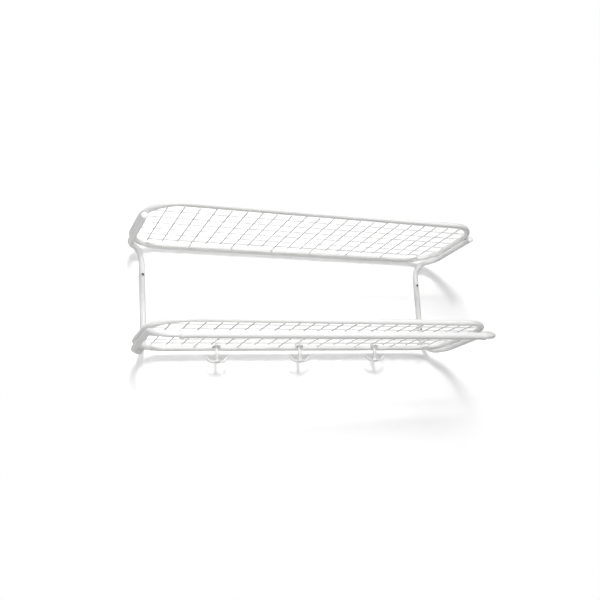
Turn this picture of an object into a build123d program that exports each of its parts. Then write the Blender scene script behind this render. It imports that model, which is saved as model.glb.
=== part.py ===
from build123d import *
from math import cos, radians, sin, sqrt, tan
import os

# A wall rack of bent steel tube: two tilted wire shelves for hats on a pair of bent
# brackets, a rail for hangers along the front and three swivel coat hooks.
# Millimetres. X runs along the wall, -Y out into the room, +Z up. The origin is on the
# wall, at the centre of the four wall-screw holes.

# Holes for the wall screws, through the brackets' posts
HOLE_SPACING_Z = 115.0
HOLE_DIA = 6.0

# Tube stock
TUBE_DIA = 12.7
TUBE_WALL = 1.5
SEAT_GAP = 0.1  # between pieces that lie against each other

# Shelf frames, measured between tube axes
SHELF_WIDTH = 782.0
SHELF_DEPTH = 233.0
SHELF_CORNER_R = 78.0
SHELF_TILT = 6.0  # degrees, front edge up
SHELF_SPACING = 230.5  # up the wall, between the two shelves' rear tube axes
UPPER_SHELF_Z = 125.0  # rear tube axis
LOWER_SHELF_OUT = 22.0  # rear tube axis from the wall, in front of the posts

# Wire mesh of a shelf
WIRE_DIA = 2.8
EDGE_WIRE_DIA = 4.0
CROSS_WIRE_COUNT = 22
LONG_WIRE_COUNT = 5  # between the two edge wires
MESH_SIDE_GAP = 42.4  # side tube axis to outermost cross wire axis
MESH_REAR_GAP = 27.5  # rear tube axis to rear edge wire axis
MESH_FRONT_GAP = 24.3  # front edge wire axis to front tube axis
MESH_LIFT = 2.0  # cross wire axis above the frame's axis plane
END_WIRE_COUNT = 3  # cross wires at each end before the first that runs on to the tubes
WIRES_PER_TIE = 3  # every third one does
EDGE_OVERHANG = 1.5  # edge wire past the outermost cross wire's axis

# Brackets: the corners of the bent tube's axis, and its bend radii
POST_INSET = 36.0  # post axis inboard of the arm's axis
UPPER_BEND_OUT = 47.0  # arm turns towards the post
LOWER_BEND_OUT = 70.0
LOWER_POST_LIFT = 4.0  # lower end of the post above the line of the lower arm
GOOSENECK_RUN = 52.0  # lower arm drops to the rail over this length
ARM_SETBACK = 44.0  # upper arm's front end behind the shelf's front tube
UPPER_ARM_R = 56.0
UPPER_POST_R = 33.0
LOWER_POST_R = 42.0
LOWER_ARM_R = 48.0
GOOSENECK_R = 60.0
RAIL_CORNER_R = 41.0

# Rail for hangers
RAIL_DIA = 16.0
RAIL_WALL = 1.5
RAIL_INSET = 47.0  # rail's end inboard of the arm's axis
RAIL_REACH = 12.3  # rail axis in front of the lower shelf's front tube axis
RAIL_DROP = 6.9  # rail axis under the lower shelf's rear tube axis
RAIL_INSERT = 30.0  # bracket tube inside the rail
COLLAR_DIA = 18.0
COLLAR_LENGTH = 8.0
COLLAR_LAP = 5.0  # collar over the rail's end

# Plugs in the front ends of the upper arms
CAP_DIA = 14.0
CAP_RIM = 1.6
CAP_DOME = 3.2
CAP_PLUG_LENGTH = 12.0

# Screws that hold the shelf frames on the arms
SCREW_DIA = 4.0
SCREW_HOLE_DIA = 4.4
SCREW_TAPPED_DIA = 4.1
SCREW_HEAD_DIA = 7.0
SCREW_HEAD_HEIGHT = 2.2
SCREW_SOCKET = 2.5  # hexagon socket, across flats
SCREW_SOCKET_DEPTH = 1.2
SCREW_FROM_CORNER = 10.0  # along the side tube, from the end of a corner's bend

# Coat hooks
HOOK_SPACING = 200.0
SEAT_DIA = 18.6
SEAT_THICKNESS = 4.2
SEAT_RISE = 5.0  # seat's top face above the rear tube's axis
HOOK_TUBE_GAP = 0.6  # stem to the rear tube
PIVOT_DIA = 6.0
PIVOT_CLEARANCE = 0.05  # radial, stem in its seat
AXIAL_CLEARANCE = 0.1  # hook shoulder and nut to the seat
STEM_DIA = 8.0
HOOK_DROP = 36.0  # seat's lower face to the bottom of the hook
HOOK_ARM_DIA = 5.4
HOOK_TIP_DIA = 6.0
HOOK_TIP_X = 24.0
HOOK_TIP_RISE = 10.6  # tip centre above the arms' lowest axis point
HOOK_BEND_X = 15.5
HOOK_BEND_RISE = 1.8
HOOK_BEND_R = 6.0
HOOK_FOOT_HEIGHT = 6.5
NUT_DIA = 11.0
NUT_RIM = 1.6
NUT_HEIGHT = 4.6
NUT_BORE_DEPTH = 3.4

# Worked out from the sizes above
tube_r = TUBE_DIA / 2
lower_shelf_z = UPPER_SHELF_Z - SHELF_SPACING
tilt = radians(SHELF_TILT)
outward = Vector(0, -cos(tilt), sin(tilt))  # along a shelf, towards the room
upward = Vector(0, sin(tilt), cos(tilt))  # a shelf's normal
arm_drop = TUBE_DIA + SEAT_GAP  # arm axis under the shelf's axis plane
arm_x = SHELF_WIDTH / 2
post_x = arm_x - POST_INSET
post_out = tube_r  # posts lie against the wall
long_lift = MESH_LIFT + WIRE_DIA + SEAT_GAP
edge_lift = MESH_LIFT + WIRE_DIA / 2 + EDGE_WIRE_DIA / 2 + SEAT_GAP
mesh_half = arm_x - MESH_SIDE_GAP
mesh_depth = SHELF_DEPTH - MESH_REAR_GAP - MESH_FRONT_GAP
cross_pitch = 2 * mesh_half / (CROSS_WIRE_COUNT - 1)
long_pitch = mesh_depth / (LONG_WIRE_COUNT + 1)
screw_from_bend = SHELF_CORNER_R + SCREW_FROM_CORNER
screw_rows = (screw_from_bend, SHELF_DEPTH - screw_from_bend)
rail_half = arm_x - RAIL_INSET
rail_out = LOWER_SHELF_OUT + SHELF_DEPTH * cos(tilt) + RAIL_REACH
rail_z = lower_shelf_z - RAIL_DROP
upper_plane = Plane(origin=(0, -post_out, UPPER_SHELF_Z), x_dir=(1, 0, 0), z_dir=upward)
lower_plane = Plane(origin=(0, -LOWER_SHELF_OUT, lower_shelf_z), x_dir=(1, 0, 0), z_dir=upward)
seat_top = lower_shelf_z + SEAT_RISE
seat_bottom = seat_top - SEAT_THICKNESS
hook_out = LOWER_SHELF_OUT + tube_r + HOOK_TUBE_GAP + STEM_DIA / 2
hook_places = (("left", -HOOK_SPACING), ("centre", 0.0), ("right", HOOK_SPACING))


def place(plane, x, out, lift):
    """Point of a tilted shelf: along X, out from its rear tube axis, and above its axis plane."""
    return plane.origin + Vector(x, 0, 0) + outward * out + upward * lift


def save(part, name):
    """Label a finished piece and write it."""
    part.label = name
    export_step(part, f"parts/{name}.step")


def shelf_frame(plane):
    """Closed loop of tube with round corners and the holes for its four screws."""
    corners = [(arm_x, 0), (arm_x, -SHELF_DEPTH), (-arm_x, -SHELF_DEPTH), (-arm_x, 0)]
    screw_spots = [(side * arm_x, -run) for side in (-1, 1) for run in screw_rows]
    with BuildPart() as frame:
        with BuildLine(plane) as loop:
            FilletPolyline(*corners, radius=SHELF_CORNER_R, close=True)
        with BuildSketch(Plane(origin=loop.line @ 0, z_dir=loop.line % 0)):
            Circle(tube_r)
        sweep(path=loop.line)
        with BuildSketch(Plane(origin=loop.line @ 0, z_dir=loop.line % 0)):
            Circle(tube_r - TUBE_WALL)
        sweep(path=loop.line, mode=Mode.SUBTRACT)
        with BuildSketch(plane.offset(-tube_r)):
            with Locations(*screw_spots):
                Circle(SCREW_HOLE_DIA / 2)
        extrude(amount=TUBE_DIA, mode=Mode.SUBTRACT)
    return frame.part


def reach_to_tube(lift, dia):
    """How far short of a tube's axis a wire of this lift and diameter meets the tube."""
    nearest = max(lift - dia / 2, 0)
    return sqrt((tube_r + SEAT_GAP) ** 2 - nearest**2)


def cross_wires(plane):
    """Wires from back to front; some of them run on to the frame's tubes."""
    reach = reach_to_tube(MESH_LIFT, WIRE_DIA)
    short_start = MESH_REAR_GAP - EDGE_WIRE_DIA / 2
    short_length = mesh_depth + EDGE_WIRE_DIA
    columns = [i * cross_pitch - mesh_half for i in range(CROSS_WIRE_COUNT)]
    ties = columns[END_WIRE_COUNT:-END_WIRE_COUNT:WIRES_PER_TIE]
    shorts = [x for x in columns if x not in ties]
    with BuildPart() as wires:
        for start, length, xs in (
            (short_start, short_length, shorts),
            (reach, SHELF_DEPTH - 2 * reach, ties),
        ):
            face = Plane(origin=place(plane, 0, start, 0), x_dir=(1, 0, 0), z_dir=outward)
            with BuildSketch(face):
                with Locations(*[(x, MESH_LIFT) for x in xs]):
                    Circle(WIRE_DIA / 2)
            extrude(amount=length)
    return wires.part


def half_length_between_tubes(row, reach):
    """Half of a long wire that meets the side tubes, or the bends beside them, in this row."""
    into_bend = max(SHELF_CORNER_R - row, row - SHELF_DEPTH + SHELF_CORNER_R, 0)
    across = sqrt(SHELF_CORNER_R**2 - into_bend**2)
    return arm_x - SHELF_CORNER_R + across - reach * SHELF_CORNER_R / across


def long_wires(plane):
    """Wires along the shelf between its side tubes, lying on the cross wires."""
    reach = reach_to_tube(long_lift, WIRE_DIA)
    rows = [MESH_REAR_GAP + (i + 1) * long_pitch for i in range(LONG_WIRE_COUNT)]
    with BuildPart() as wires:
        for row in rows:
            with BuildSketch(Plane(origin=plane.origin, x_dir=outward, z_dir=(-1, 0, 0))):
                with Locations((row, long_lift)):
                    Circle(WIRE_DIA / 2)
            extrude(amount=half_length_between_tubes(row, reach), both=True)
    return wires.part


def edge_wires(plane):
    """Thicker wires along the mesh's rear and front edges."""
    rows = [MESH_REAR_GAP, MESH_REAR_GAP + mesh_depth]
    with BuildPart() as wires:
        with BuildSketch(Plane(origin=plane.origin, x_dir=outward, z_dir=(-1, 0, 0))):
            with Locations(*[(row, edge_lift) for row in rows]):
                Circle(EDGE_WIRE_DIA / 2)
        extrude(amount=mesh_half + EDGE_OVERHANG, both=True)
    return wires.part


def shelf_screws(plane):
    """Dome-headed screws through the frame's side tubes into the arms."""
    spots = [(side * arm_x, -run) for side in (-1, 1) for run in screw_rows]
    head_base = tube_r + SEAT_GAP
    with BuildPart() as screws:
        with BuildSketch(plane.offset(-arm_drop)):
            with Locations(*spots):
                Circle(SCREW_DIA / 2)
        extrude(amount=arm_drop + head_base)
        with BuildSketch(plane.offset(head_base)):
            with Locations(*spots):
                Circle(SCREW_HEAD_DIA / 2)
        extrude(amount=SCREW_HEAD_HEIGHT)
        rims = screws.edges().filter_by(GeomType.CIRCLE)
        rims = rims.filter_by(lambda e: plane.to_local_coords(e.center()).Z > head_base + SEAT_GAP)
        fillet(rims, SCREW_HEAD_HEIGHT * 0.8)
        with BuildSketch(plane.offset(head_base + SCREW_HEAD_HEIGHT)):
            with Locations(*spots):
                RegularPolygon(SCREW_SOCKET / 2, 6, major_radius=False)
        extrude(amount=-SCREW_SOCKET_DEPTH, mode=Mode.SUBTRACT)
    return screws.part


def bracket_route():
    """Corners of the right bracket's axis, from the upper arm's front end to inside the rail."""
    upper_front = SHELF_DEPTH - ARM_SETBACK / cos(tilt)
    upper_turn = (UPPER_BEND_OUT - post_out) / cos(tilt)
    lower_turn = (LOWER_BEND_OUT - LOWER_SHELF_OUT) / cos(tilt)
    lower_post = (post_out - LOWER_SHELF_OUT) / cos(tilt)
    gooseneck = (rail_out - GOOSENECK_RUN - LOWER_SHELF_OUT) / cos(tilt)
    lean = Vector(0, 0, -arm_drop / cos(tilt)) + upward * arm_drop  # keeps the given distance out
    return [
        place(upper_plane, arm_x, upper_front, -arm_drop),
        place(upper_plane, arm_x, upper_turn, -arm_drop) + lean,
        place(upper_plane, post_x, 0, -arm_drop) + lean,
        place(lower_plane, post_x, lower_post, -arm_drop) + lean + Vector(0, 0, LOWER_POST_LIFT),
        place(lower_plane, arm_x, lower_turn, -arm_drop) + lean,
        place(lower_plane, arm_x, gooseneck, -arm_drop) + lean,
        Vector(arm_x, -rail_out, rail_z),
        Vector(rail_half - RAIL_INSERT, -rail_out, rail_z),
    ]


def right_bracket():
    """One bent tube: upper arm, post against the wall, lower arm and the turn into the rail."""
    bends = [UPPER_ARM_R, UPPER_POST_R, LOWER_POST_R, LOWER_ARM_R, GOOSENECK_R, RAIL_CORNER_R]
    with BuildPart() as bracket:
        with BuildLine() as route:
            FilletPolyline(*bracket_route(), radius=bends)
        with BuildSketch(Plane(origin=route.line @ 0, z_dir=route.line % 0)):
            Circle(tube_r)
            Circle(tube_r - TUBE_WALL, mode=Mode.SUBTRACT)
        sweep(path=route.line)
        with BuildSketch(Plane.XZ):
            with Locations((post_x, -HOLE_SPACING_Z / 2), (post_x, HOLE_SPACING_Z / 2)):
                Circle(HOLE_DIA / 2)
        extrude(amount=TUBE_DIA, mode=Mode.SUBTRACT)
        for plane in (upper_plane, lower_plane):
            with BuildSketch(plane.offset(-arm_drop)):
                with Locations(*[(arm_x, -run) for run in screw_rows]):
                    Circle(SCREW_TAPPED_DIA / 2)
            extrude(amount=tube_r, mode=Mode.SUBTRACT)
    return bracket.part


def right_arm_cap():
    """Domed plug that closes the upper arm's front end."""
    end = place(upper_plane, arm_x, SHELF_DEPTH - ARM_SETBACK / cos(tilt) + SEAT_GAP, -arm_drop)
    plug_r = tube_r - TUBE_WALL - SEAT_GAP
    rim = CAP_DIA / 2
    with BuildPart() as cap:
        with BuildSketch(Plane(origin=end, x_dir=outward, z_dir=(-1, 0, 0))):
            with BuildLine():
                Polyline((CAP_RIM, rim), (0, rim), (0, plug_r), (-CAP_PLUG_LENGTH, plug_r),
                         (-CAP_PLUG_LENGTH, 0), (CAP_RIM + CAP_DOME, 0))
                RadiusArc((CAP_RIM + CAP_DOME, 0), (CAP_RIM, rim),
                          -(rim**2 + CAP_DOME**2) / (2 * CAP_DOME))
            make_face()
        revolve(axis=Axis(end, outward))
    return cap.part


def front_rail():
    """Straight tube that sleeves over both brackets' ends."""
    with BuildPart() as rail:
        with BuildSketch(Plane(origin=(0, -rail_out, rail_z), z_dir=(1, 0, 0))):
            Circle(RAIL_DIA / 2)
            Circle(RAIL_DIA / 2 - RAIL_WALL, mode=Mode.SUBTRACT)
        extrude(amount=rail_half, both=True)
    return rail.part


def right_rail_collar():
    """Stepped collar that trims the joint between the rail's end and the bracket tube."""
    rail_end = Plane(origin=(rail_half + SEAT_GAP, -rail_out, rail_z), z_dir=(1, 0, 0))
    with BuildPart() as collar:
        with BuildSketch(rail_end.offset(-COLLAR_LAP)):
            Circle(COLLAR_DIA / 2)
        extrude(amount=COLLAR_LENGTH)
        with BuildSketch(rail_end.offset(-COLLAR_LAP)):
            Circle(RAIL_DIA / 2 + SEAT_GAP)
        extrude(amount=COLLAR_LAP, mode=Mode.SUBTRACT)
        with BuildSketch(rail_end):
            Circle(tube_r + SEAT_GAP)
        extrude(amount=COLLAR_LENGTH - COLLAR_LAP, mode=Mode.SUBTRACT)
        outer = collar.faces().filter_by(GeomType.CYLINDER).sort_by(lambda f: f.radius)[-1]
        chamfer(outer.edges().filter_by(GeomType.CIRCLE), (COLLAR_DIA - RAIL_DIA) / 4)
    return collar.part


def hook_seats():
    """Round lugs on the front of the lower shelf's rear tube, cut out to fit round it."""
    with BuildPart() as seats:
        with BuildSketch(Plane.XY.offset(seat_bottom)):
            with Locations(*[(x, -hook_out) for _, x in hook_places]):
                Circle(SEAT_DIA / 2)
                Circle(PIVOT_DIA / 2 + PIVOT_CLEARANCE, mode=Mode.SUBTRACT)
        extrude(amount=SEAT_THICKNESS)
        corners = seats.edges().filter_by(GeomType.CIRCLE)
        fillet(corners.filter_by(lambda e: e.radius > STEM_DIA), SEAT_THICKNESS / 5)
        with BuildSketch(Plane(origin=lower_plane.origin, z_dir=(1, 0, 0))):
            Circle(tube_r + SEAT_GAP)
        extrude(amount=HOOK_SPACING + SEAT_DIA, both=True, mode=Mode.SUBTRACT)
    return seats.part


def hook(x):
    """Stem that turns in its seat, with two upswept arms ending in balls."""
    centre = Vector(x, -hook_out, 0)
    axis_low = seat_bottom - HOOK_DROP + HOOK_ARM_DIA / 2
    shoulder = seat_bottom - AXIAL_CLEARANCE
    pivot_top = seat_top + AXIAL_CLEARANCE + NUT_BORE_DEPTH - SEAT_GAP
    upright = Plane(origin=centre, x_dir=(1, 0, 0), z_dir=(0, -1, 0))
    arms = [(-HOOK_TIP_X, axis_low + HOOK_TIP_RISE), (-HOOK_BEND_X, axis_low + HOOK_BEND_RISE),
            (0, axis_low), (HOOK_BEND_X, axis_low + HOOK_BEND_RISE),
            (HOOK_TIP_X, axis_low + HOOK_TIP_RISE)]
    with BuildPart() as body:
        with BuildSketch(upright):
            with BuildLine():
                Polyline((STEM_DIA / 2, axis_low + HOOK_FOOT_HEIGHT), (STEM_DIA / 2, shoulder),
                         (PIVOT_DIA / 2, shoulder), (PIVOT_DIA / 2, pivot_top), (0, pivot_top),
                         (0, axis_low), (HOOK_FOOT_HEIGHT, axis_low))
                RadiusArc((HOOK_FOOT_HEIGHT, axis_low),
                          (STEM_DIA / 2, axis_low + HOOK_FOOT_HEIGHT), -HOOK_FOOT_HEIGHT)
            make_face()
        revolve(axis=Axis(centre, (0, 0, 1)))
        with BuildLine(upright) as route:
            FilletPolyline(*arms, radius=[HOOK_BEND_R, HOOK_TIP_X, HOOK_BEND_R])
        with BuildSketch(Plane(origin=route.line @ 0, z_dir=route.line % 0)):
            Circle(HOOK_ARM_DIA / 2)
        sweep(path=route.line)
        with Locations(route.line @ 0, route.line @ 1):
            Sphere(HOOK_TIP_DIA / 2)
    return body.part


def hook_nut(x):
    """Domed nut on top of a hook's stem, above the seat."""
    base = Vector(x, -hook_out, seat_top + AXIAL_CLEARANCE)
    dome = NUT_HEIGHT - NUT_RIM
    rim = NUT_DIA / 2
    with BuildPart() as nut:
        with BuildSketch(Plane(origin=base, x_dir=(1, 0, 0), z_dir=(0, -1, 0))):
            with BuildLine():
                Polyline((rim, NUT_RIM), (rim, 0), (0, 0), (0, NUT_HEIGHT))
                RadiusArc((0, NUT_HEIGHT), (rim, NUT_RIM), (rim**2 + dome**2) / (2 * dome))
            make_face()
        revolve(axis=Axis(base, (0, 0, 1)))
        with BuildSketch(Plane(origin=base)):
            Circle(PIVOT_DIA / 2 + PIVOT_CLEARANCE)
        extrude(amount=NUT_BORE_DEPTH, mode=Mode.SUBTRACT)
    return nut.part


os.makedirs("parts", exist_ok=True)

for shelf, plane in (("upper", upper_plane), ("lower", lower_plane)):
    save(shelf_frame(plane), f"{shelf}_shelf_frame")
    save(cross_wires(plane), f"{shelf}_cross_wires")
    save(long_wires(plane), f"{shelf}_long_wires")
    save(edge_wires(plane), f"{shelf}_edge_wires")
    save(shelf_screws(plane), f"{shelf}_shelf_screws")

for name, piece in (
    ("bracket", right_bracket()),
    ("arm_cap", right_arm_cap()),
    ("rail_collar", right_rail_collar()),
):
    save(piece, f"right_{name}")
    save(mirror(piece, about=Plane.YZ), f"left_{name}")

save(front_rail(), "front_rail")
save(hook_seats(), "hook_seats")
for side, x in hook_places:
    save(hook(x), f"{side}_hook")
    save(hook_nut(x), f"{side}_hook_nut")
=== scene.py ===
import math

import bmesh
import bpy
from mathutils import Matrix, Vector, noise


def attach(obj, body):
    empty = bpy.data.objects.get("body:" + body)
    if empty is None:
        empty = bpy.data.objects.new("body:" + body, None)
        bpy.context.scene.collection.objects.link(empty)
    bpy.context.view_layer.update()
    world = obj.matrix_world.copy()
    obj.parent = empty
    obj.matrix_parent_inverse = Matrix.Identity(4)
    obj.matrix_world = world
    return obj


# The looks of a white-lacquered wall rack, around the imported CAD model. Metres; the wall is
# the plane y = 0, the room is on its -Y side, and +Z is up.

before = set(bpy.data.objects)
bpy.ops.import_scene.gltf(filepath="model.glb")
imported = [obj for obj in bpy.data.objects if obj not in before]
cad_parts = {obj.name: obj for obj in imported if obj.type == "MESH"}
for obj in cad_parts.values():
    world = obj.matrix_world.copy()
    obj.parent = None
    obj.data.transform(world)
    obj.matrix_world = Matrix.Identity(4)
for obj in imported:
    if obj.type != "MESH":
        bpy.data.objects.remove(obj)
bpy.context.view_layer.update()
BODY = "rack"

# Camera: place, heading (to the right of +Y), tilt (up), roll, how far it sees, and focal length
CAMERA_PLACE = (-0.71047, -1.56224, -0.31384)
CAMERA_HEADING = math.radians(25.193)
CAMERA_TILT = math.radians(10.726)
CAMERA_ROLL = math.radians(-3.372)
CAMERA_REACH = 50
IMAGE_SIDE = 600
FOCAL_PIXELS = 733.88
SENSOR = 36.0

# Stage: the painted wall stands just behind the wall plane. A backdrop lights the object with
# its bounce and shows the camera what is seen, which turns to plain white between two
# distances from the origin.
WALL_SIDE = 9.0
WALL_STANDOFF = 0.003
WALL_PAINT = {"bounce": 0.7, "seen": 1.36, "clear_from": 0.42, "clear_to": 0.66}
FLOOR_SIDE = 14.0
FLOOR_DROP = 1.75
FLOOR_PAINT = {"bounce": 0.45, "seen": 0.9, "clear_from": 1.2, "clear_to": 2.2}

# Square lamps: azimuth to the left of straight in front, elevation (both in degrees),
# distance, side and watts. All lamps are aimed at the origin.
LAMPS = {
    "key": (17, 31, 2.4, 0.52, 38),
    "front_fill": (24, -20, 1.9, 0.5, 8.5),
    "right_fill": (-25, 12, 2.2, 0.45, 5.0),
}
LAMP_AIM = Vector((0, 0, 0))
BACK_LAMP_PLACE = (0.0, 2.5, 1.5)
BACK_LAMP_SIZE = (2.5, 2.0)
BACK_LAMP_WATTS = 20
WORLD_GLOW = 0.17

# Paints: colours, the tints that yellowing multiplies them by, how far the roughness strays
# from its mean either way, and how much deeper the runs are than the orange peel
PLAIN_WHITE = (1, 1, 1, 1)
TUBE_WHITE = (0.93, 0.93, 0.925)
# The mesh wires' white is darker than the tubes' lacquer: painted shade for the undersides of
# the wires.
WIRE_WHITE_WITH_PAINTED_SHADE = (0.85, 0.85, 0.845)
HOOK_WHITE = (0.94, 0.94, 0.935)
SCREW_WHITE = (0.92, 0.92, 0.915)
PLASTIC_WHITE = (0.94, 0.94, 0.93)
# Inside the posts: nearly black, partly the bore's own bare steel and partly painted shade that
# keeps the screw holes dark.
BORE_STEEL_AND_PAINTED_SHADE = (0.035, 0.033, 0.03)
YELLOWING = (0.97, 0.965, 0.95)
PLASTIC_YELLOWING = (0.98, 0.975, 0.96)
GLOSSIER, DULLER = 0.06, 0.08
RUN_DEPTH_IN_PEELS = 4

# Measures of the CAD model that the added pieces and materials need. A shelf's origin is the
# middle of its rear tube's centre line. Rows are distances outward from there, columns are
# distances along the wall, and lifts are heights above the plane of the shelf's tubes. The
# ties are the cross wires that run on to the tubes. The posts are near black inside, as bare
# steel and painted shade in their screw holes, out to a radius between their bore and their
# outside, and along their straight stretch with the holes.
TUBE_R = 0.00635
POST_X = 0.355
POST_DARK_BORE_R = 0.0056
POST_DARK_BORE_HALF = 0.068
TILT = math.radians(6)
OUTWARD = Vector((0, -math.cos(TILT), math.sin(TILT)))
UPWARD = Vector((0, math.sin(TILT), math.cos(TILT)))
ALONG = Vector((1, 0, 0))
SHELVES = {"upper": Vector((0, -0.00635, 0.125)), "lower": Vector((0, -0.022, -0.1055))}
SHELF_DEPTH = 0.233
SHELF_HALF = 0.391
CORNER_R = 0.078
CROSS_LIFT, LONG_LIFT = 0.002, 0.0049
WIRE_R = 0.0014
COLUMN_COUNT, COLUMN_STEP = 22, 0.0332
COLUMNS = [(i - (COLUMN_COUNT - 1) / 2) * COLUMN_STEP for i in range(COLUMN_COUNT)]
TIES = COLUMNS[3:-3:3]
LONG_ROWS = [0.0577, 0.0879, 0.1181, 0.1483, 0.1785]
EDGE_ROWS = [0.0275, 0.2087]

# Weld beads: half sizes along the wall, outward and upward
CROSSING_BEAD = (0.0021, 0.0021, 0.0013)
EDGE_BEAD = (0.0022, 0.0024, 0.0013)
TIE_BEAD = (0.0024, 0.0011, 0.0022)
ROW_END_BEAD = (0.0012, 0.0023, 0.0021)
# From a tube's centre line to the beads where cross wires and long wires end on it, how far
# under the long wire its beads lie, and how uneven all beads are
TIE_REACH = 0.0061
ROW_END_REACH = TUBE_R - 0.0023
ROW_END_DROP = 0.0002
BEAD_SWELL = 0.10
BEAD_NOISE_SCALE = 1.7
BEAD_NOISE_STEPS = (3.1, 1.3, 0.7)


def link(obj):
    bpy.context.scene.collection.objects.link(obj)
    return obj


# ---------------------------------------------------------------- materials


class Shader:
    """The emptied node tree of a new material or world, and short ways to fill it."""

    def __init__(self, owner, output="ShaderNodeOutputMaterial"):
        owner.use_nodes = True
        self.owner = owner
        self.tree = owner.node_tree
        self.tree.nodes.clear()
        self.output = self.node(output)

    def node(self, kind, values=None, **settings):
        made = self.tree.nodes.new(kind)
        for key, value in settings.items():
            setattr(made, key, value)
        for key, value in (values or {}).items():
            made.inputs[key].default_value = value
        return made

    def join(self, source, target):
        self.tree.links.new(source, target)

    def either(self, share, first, second):
        """The first shader where share is 0, the second where it is 1."""
        mix = self.node("ShaderNodeMixShader")
        for source, target in zip((share, first, second), mix.inputs):
            self.join(source, target)
        return mix.outputs[0]

    def maths(self, operation, first, second=None):
        """One Math node on a socket, and a second socket or a number."""
        node = self.node("ShaderNodeMath", operation=operation)
        self.join(first, node.inputs[0])
        if isinstance(second, (int, float)):
            node.inputs[1].default_value = second
        elif second is not None:
            self.join(second, node.inputs[1])
        return node.outputs[0]


def lacquer(name, colour, roughness, peel=0.00006, coat=0.25, tint=YELLOWING, bare_and_shaded_bore=False):
    """Sprayed white lacquer: orange peel, uneven gloss, faint yellowing and thick runs.

    With the bore option, the inside of the two posts is near black: bare steel, as it is behind
    their screw holes, and painted shade that keeps the holes dark.
    """
    s = Shader(bpy.data.materials.new(name))
    place = s.node("ShaderNodeTexCoord")
    shade = s.node("ShaderNodeBsdfPrincipled",
                   {"Coat Weight": coat, "Coat Roughness": 0.12, "IOR": 1.5})
    cloud = s.node("ShaderNodeTexNoise", {"Scale": 9.0, "Detail": 3.0, "Roughness": 0.6})
    yellowed = [c * t for c, t in zip(colour, tint)]
    mix = s.node("ShaderNodeMix", {"A": (*colour, 1), "B": (*yellowed, 1)}, data_type="RGBA")
    level = s.node("ShaderNodeMapRange", {"From Min": 0.35, "From Max": 0.7})
    gloss = s.node("ShaderNodeTexNoise", {"Scale": 60.0, "Detail": 2.0})
    rough = s.node("ShaderNodeMapRange",
                   {"To Min": roughness - GLOSSIER, "To Max": roughness + DULLER})
    skin = s.node("ShaderNodeTexNoise", {"Scale": 700.0, "Detail": 1.5, "Roughness": 0.4})
    bump = s.node("ShaderNodeBump", {"Strength": 0.35, "Distance": peel})
    sag = s.node("ShaderNodeTexNoise", {"Scale": 45.0, "Detail": 1.0})
    runs = s.node("ShaderNodeBump", {"Strength": 0.25, "Distance": RUN_DEPTH_IN_PEELS * peel})
    for texture in (cloud, gloss, skin, sag):
        s.join(place.outputs["Object"], texture.inputs["Vector"])
    s.join(cloud.outputs["Fac"], level.inputs["Value"])
    s.join(level.outputs["Result"], mix.inputs["Factor"])
    paint = mix.outputs["Result"]
    if bare_and_shaded_bore:
        # The bore's near black: bare steel, darkened further as painted shade in the screw
        # holes.
        dark_bore = s.node("ShaderNodeMix", {"B": (*BORE_STEEL_AND_PAINTED_SHADE, 1)}, data_type="RGBA")
        s.join(inside_posts(s, place.outputs["Object"]), dark_bore.inputs["Factor"])
        s.join(paint, dark_bore.inputs["A"])
        paint = dark_bore.outputs["Result"]
    s.join(paint, shade.inputs["Base Color"])
    s.join(gloss.outputs["Fac"], rough.inputs["Value"])
    s.join(rough.outputs["Result"], shade.inputs["Roughness"])
    s.join(sag.outputs["Fac"], runs.inputs["Height"])
    s.join(skin.outputs["Fac"], bump.inputs["Height"])
    s.join(runs.outputs["Normal"], bump.inputs["Normal"])
    s.join(bump.outputs["Normal"], shade.inputs["Normal"])
    s.join(shade.outputs["BSDF"], s.output.inputs["Surface"])
    return s.owner


def inside_posts(s, place):
    """1 inside a post's tube along its straight stretch with the screw holes, elsewhere 0."""
    parts = s.node("ShaderNodeSeparateXYZ")
    s.join(place, parts.inputs[0])
    sideways = s.maths("SUBTRACT", s.maths("ABSOLUTE", parts.outputs["X"]), POST_X)
    out = s.maths("ADD", parts.outputs["Y"], TUBE_R)
    apart = s.maths("ADD", s.maths("MULTIPLY", sideways, sideways),
                    s.maths("MULTIPLY", out, out))
    straight = s.maths("LESS_THAN", s.maths("ABSOLUTE", parts.outputs["Z"]), POST_DARK_BORE_HALF)
    return s.maths("MULTIPLY", s.maths("LESS_THAN", apart, POST_DARK_BORE_R ** 2), straight)


def dress(material, *nodes):
    """Gives CAD nodes a finished material."""
    for node in nodes:
        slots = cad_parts[node].data.materials
        slots.clear()
        slots.append(material)


# ---------------------------------------------------------------- welds


def bead(mesh, centre, axes, radii, seed):
    """One lump of weld under the lacquer: an uneven rounded blob on three axes."""
    drift = Vector([seed * step for step in BEAD_NOISE_STEPS])
    for vert in bmesh.ops.create_icosphere(mesh, subdivisions=2, radius=1.0)["verts"]:
        swell = 1 + BEAD_SWELL * noise.noise(vert.co * BEAD_NOISE_SCALE + drift)
        reaches = (axis * (c * r * swell) for axis, c, r in zip(axes, vert.co, radii))
        vert.co = centre + sum(reaches, Vector())


def half_length_of_row(row):
    """Where a long wire meets the side tube or the bend beside it, from the middle."""
    into_bend = max(CORNER_R - row, row - SHELF_DEPTH + CORNER_R, 0)
    across = math.sqrt((CORNER_R - ROW_END_REACH) ** 2 - into_bend ** 2)
    return SHELF_HALF - CORNER_R + across


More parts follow.
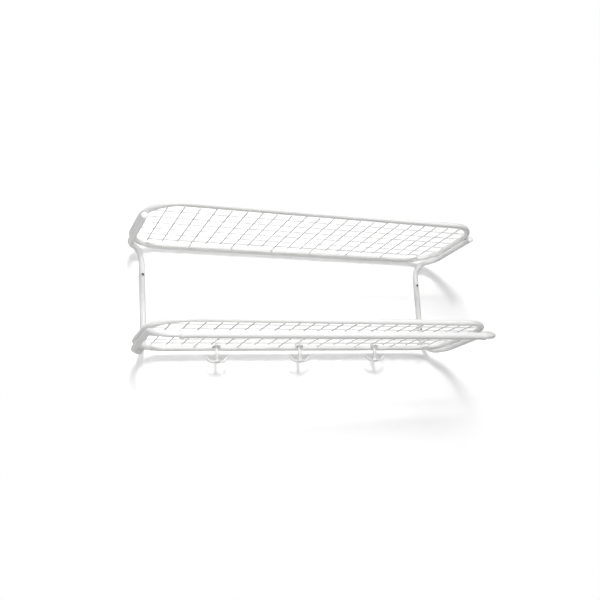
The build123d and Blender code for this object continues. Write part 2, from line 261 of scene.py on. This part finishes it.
def weld_mesh(name, origin, material):
    """All welds of one shelf: at every wire crossing, and where wires end on the tubes."""
    axes = (ALONG, OUTWARD, UPWARD)
    mesh = bmesh.new()
    seed = 1

    def add(x, out, lift, radii):
        nonlocal seed
        seed += 1
        bead(mesh, origin + ALONG * x + OUTWARD * out + UPWARD * lift, axes, radii, seed)

    for x in COLUMNS:
        for row in LONG_ROWS:
            add(x, row, (CROSS_LIFT + LONG_LIFT) / 2, CROSSING_BEAD)
        for row in EDGE_ROWS:
            add(x, row, CROSS_LIFT + WIRE_R, EDGE_BEAD)
    for x in TIES:
        for out, way in ((0.0, 1), (SHELF_DEPTH, -1)):
            add(x, out + way * TIE_REACH, CROSS_LIFT, TIE_BEAD)
    for row in LONG_ROWS:
        for side in (-1, 1):
            add(side * half_length_of_row(row), row, LONG_LIFT - ROW_END_DROP, ROW_END_BEAD)
    data = bpy.data.meshes.new(name)
    mesh.to_mesh(data)
    mesh.free()
    data.materials.append(material)
    data.polygons.foreach_set("use_smooth", [True] * len(data.polygons))
    piece = link(bpy.data.objects.new(name, data))
    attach(piece, BODY)


# ---------------------------------------------------------------- stage and light


def plane(name, corners, material):
    mesh = bpy.data.meshes.new(name)
    mesh.from_pydata(corners, [], [range(len(corners))])
    mesh.materials.append(material)
    made = link(bpy.data.objects.new(name, mesh))
    return made


def backdrop_material(name, bounce, seen, clear_from, clear_to):
    """Pale paint, seen only from its front. It lights the object less than the camera sees it.

    What the camera sees turns to plain white between two distances from the origin.
    """
    s = Shader(bpy.data.materials.new(name))
    paint = s.node("ShaderNodeBsdfDiffuse", {"Color": (bounce, bounce, bounce, 1)})
    shown = s.node("ShaderNodeBsdfDiffuse", {"Color": (seen, seen, seen, 1)})
    white = s.node("ShaderNodeEmission", {"Color": PLAIN_WHITE, "Strength": 1.0})
    off = s.node("ShaderNodeBsdfTransparent")
    place = s.node("ShaderNodeTexCoord")
    far = s.node("ShaderNodeVectorMath", operation="LENGTH")
    fade = s.node("ShaderNodeMapRange", {"From Min": clear_from, "From Max": clear_to},
                  interpolation_type="SMOOTHSTEP")
    path = s.node("ShaderNodeLightPath")
    geometry = s.node("ShaderNodeNewGeometry")
    s.join(place.outputs["Object"], far.inputs[0])
    s.join(far.outputs["Value"], fade.inputs["Value"])
    faded = s.either(fade.outputs["Result"], shown.outputs[0], white.outputs[0])
    front = s.either(path.outputs["Is Camera Ray"], paint.outputs[0], faded)
    whole = s.either(geometry.outputs["Backfacing"], front, off.outputs[0])
    s.join(whole, s.output.inputs["Surface"])
    return s.owner


def make_stage():
    w, y, low = WALL_SIDE / 2, WALL_STANDOFF, -FLOOR_DROP
    wall = plane("stage_wall", [(-w, y, low), (w, y, low), (w, y, w), (-w, y, w)],
                 backdrop_material("stage_wall", **WALL_PAINT))
    wall.visible_shadow = False
    f = FLOOR_SIDE / 2
    plane("stage_floor", [(-f, -f, low), (f, -f, low), (f, f, low), (-f, f, low)],
          backdrop_material("stage_floor", **FLOOR_PAINT))


def area_light(name, place, width, height, power):
    data = bpy.data.lights.new(name, "AREA")
    data.shape = "RECTANGLE"
    data.size = width
    data.size_y = height
    data.energy = power
    lamp = link(bpy.data.objects.new(name, data))
    lamp.location = place
    lamp.rotation_mode = "QUATERNION"
    lamp.rotation_quaternion = (LAMP_AIM - Vector(place)).to_track_quat("-Z", "Y")


def lamp_at(azimuth, elevation, distance):
    """A lamp's place: azimuth to the left of straight in front, and elevation, in degrees."""
    a, e = math.radians(azimuth), math.radians(elevation)
    return (-distance * math.sin(a) * math.cos(e),
            -distance * math.cos(a) * math.cos(e),
            distance * math.sin(e))


def make_lights():
    for name, (azimuth, elevation, distance, side, power) in LAMPS.items():
        area_light(name, lamp_at(azimuth, elevation, distance), side, side, power)
    area_light("back", BACK_LAMP_PLACE, *BACK_LAMP_SIZE, BACK_LAMP_WATTS)


def make_world():
    """A dim even glow on the object, and plain white for the camera."""
    s = Shader(bpy.data.worlds.new("studio"), "ShaderNodeOutputWorld")
    bpy.context.scene.world = s.owner
    dim = s.node("ShaderNodeBackground", {"Color": PLAIN_WHITE, "Strength": WORLD_GLOW})
    seen = s.node("ShaderNodeBackground", {"Color": PLAIN_WHITE, "Strength": 1.0})
    path = s.node("ShaderNodeLightPath")
    both = s.either(path.outputs["Is Camera Ray"], dim.outputs[0], seen.outputs[0])
    s.join(both, s.output.inputs["Surface"])


def make_camera():
    data = bpy.data.cameras.new("camera")
    data.sensor_width = SENSOR
    data.lens = SENSOR * FOCAL_PIXELS / IMAGE_SIDE
    data.clip_end = CAMERA_REACH
    camera = link(bpy.data.objects.new("camera", data))
    level = Vector((math.cos(CAMERA_HEADING), -math.sin(CAMERA_HEADING), 0))
    ahead = Vector((math.sin(CAMERA_HEADING) * math.cos(CAMERA_TILT),
                    math.cos(CAMERA_HEADING) * math.cos(CAMERA_TILT), math.sin(CAMERA_TILT)))
    over = level.cross(ahead)
    right = level * math.cos(CAMERA_ROLL) + over * math.sin(CAMERA_ROLL)
    up = over * math.cos(CAMERA_ROLL) - level * math.sin(CAMERA_ROLL)
    turn = Matrix((right, up, -ahead)).transposed()
    camera.matrix_world = Matrix.Translation(CAMERA_PLACE) @ turn.to_4x4()
    bpy.context.scene.camera = camera


make_camera()
make_stage()
make_lights()
make_world()
bpy.context.scene.view_settings.view_transform = "Standard"

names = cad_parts
tube = lacquer("white_tube_lacquer", TUBE_WHITE, roughness=0.34)
# The wire lacquer's darker white is painted shade on the mesh wires and their welds.
wire = lacquer("white_wire_lacquer_painted_shade", WIRE_WHITE_WITH_PAINTED_SHADE, roughness=0.38, peel=0.00004)
hook = lacquer("white_hook_enamel", HOOK_WHITE, roughness=0.24, peel=0.00003, coat=0.5)
screw = lacquer("white_screw_lacquer", SCREW_WHITE, roughness=0.3, peel=0.00002, coat=0.3)
plastic = lacquer("white_plastic", PLASTIC_WHITE, roughness=0.42, peel=0.00002, coat=0.0,
                  tint=PLASTIC_YELLOWING)
# The posts' lacquer has the near-black bore: bare steel and painted shade inside the screw
# holes.
post = lacquer("white_post_lacquer", TUBE_WHITE, roughness=0.34, bare_and_shaded_bore=True)
dress(tube, "upper_shelf_frame", "lower_shelf_frame", "front_rail", "left_rail_collar",
      "right_rail_collar", "hook_seats")
dress(post, "left_bracket", "right_bracket")
dress(wire, *[n for n in names if n.endswith("_wires")])
dress(hook, *[n for n in names if n.endswith("_hook") or n.endswith("_nut")])
dress(screw, "upper_shelf_screws", "lower_shelf_screws")
dress(plastic, "left_arm_cap", "right_arm_cap")
for shelf, origin in SHELVES.items():
    weld_mesh(shelf + "_mesh_welds", origin, wire)
